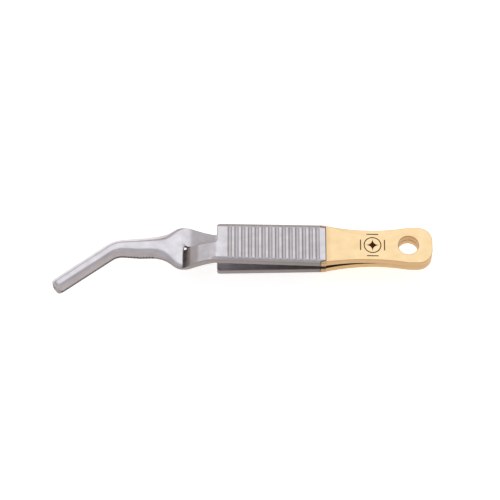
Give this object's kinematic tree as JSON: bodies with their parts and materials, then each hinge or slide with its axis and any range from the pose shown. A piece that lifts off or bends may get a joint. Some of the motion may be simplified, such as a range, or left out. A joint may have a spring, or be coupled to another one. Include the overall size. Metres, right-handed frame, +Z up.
{
  "type": "cross-action spring clamp",
  "caption": "Small stainless cross-action spring clamp with angled serrated jaws, ribbed finger plates and a gold-plated tail with a hanging hole.",
  "frame": {"origin": "on the axis of the hanging hole, midway through the thickness of the tail", "axes": "+X runs back along the clamp to the tail's rounded end, so the jaws lie at negative X; +Y is sideways, away from the side the jaws turn to; +Z is up, through the tail and the finger plates"},
  "size_m": [0.0887, 0.0164, 0.008],
  "materials": {
    "gold_plate": "satin gold plate over brushed stainless steel",
    "braze": "braze metal under the same gold plate",
    "satin_steel": "satin ground stainless steel"
  },
  "bodies": {
    "tail": {"tail_upper_half": "gold_plate", "tail_lower_half": "gold_plate", "tail_braze_film": "braze"},
    "upper_limb": {"upper_spring_leaf": "gold_plate", "upper_arm": "satin_steel"},
    "lower_limb": {"lower_spring_leaf": "gold_plate", "lower_arm": "satin_steel"}
  },
  "joints": [
    {"name": "upper_flex", "type": "hinge", "parent": "tail", "child": "upper_limb", "pos_m": [-0.0134, 0, 0.0013], "axis": [0, -1, 0], "range_deg": [0, 3.5], "stiffness_Nm_per_rad": 2, "springref_deg": -4.58, "deforming": ["upper_spring_leaf"]},
    {"name": "lower_flex", "type": "hinge", "parent": "tail", "child": "lower_limb", "pos_m": [-0.0134, 0, -0.0013], "axis": [0, 1, 0], "range_deg": [0, 3.5], "stiffness_Nm_per_rad": 2, "springref_deg": -4.58, "deforming": ["lower_spring_leaf"]}
  ],
  "couplings": [
    {"joint": "lower_flex", "follows": "upper_flex", "ratio": 1}
  ]
}
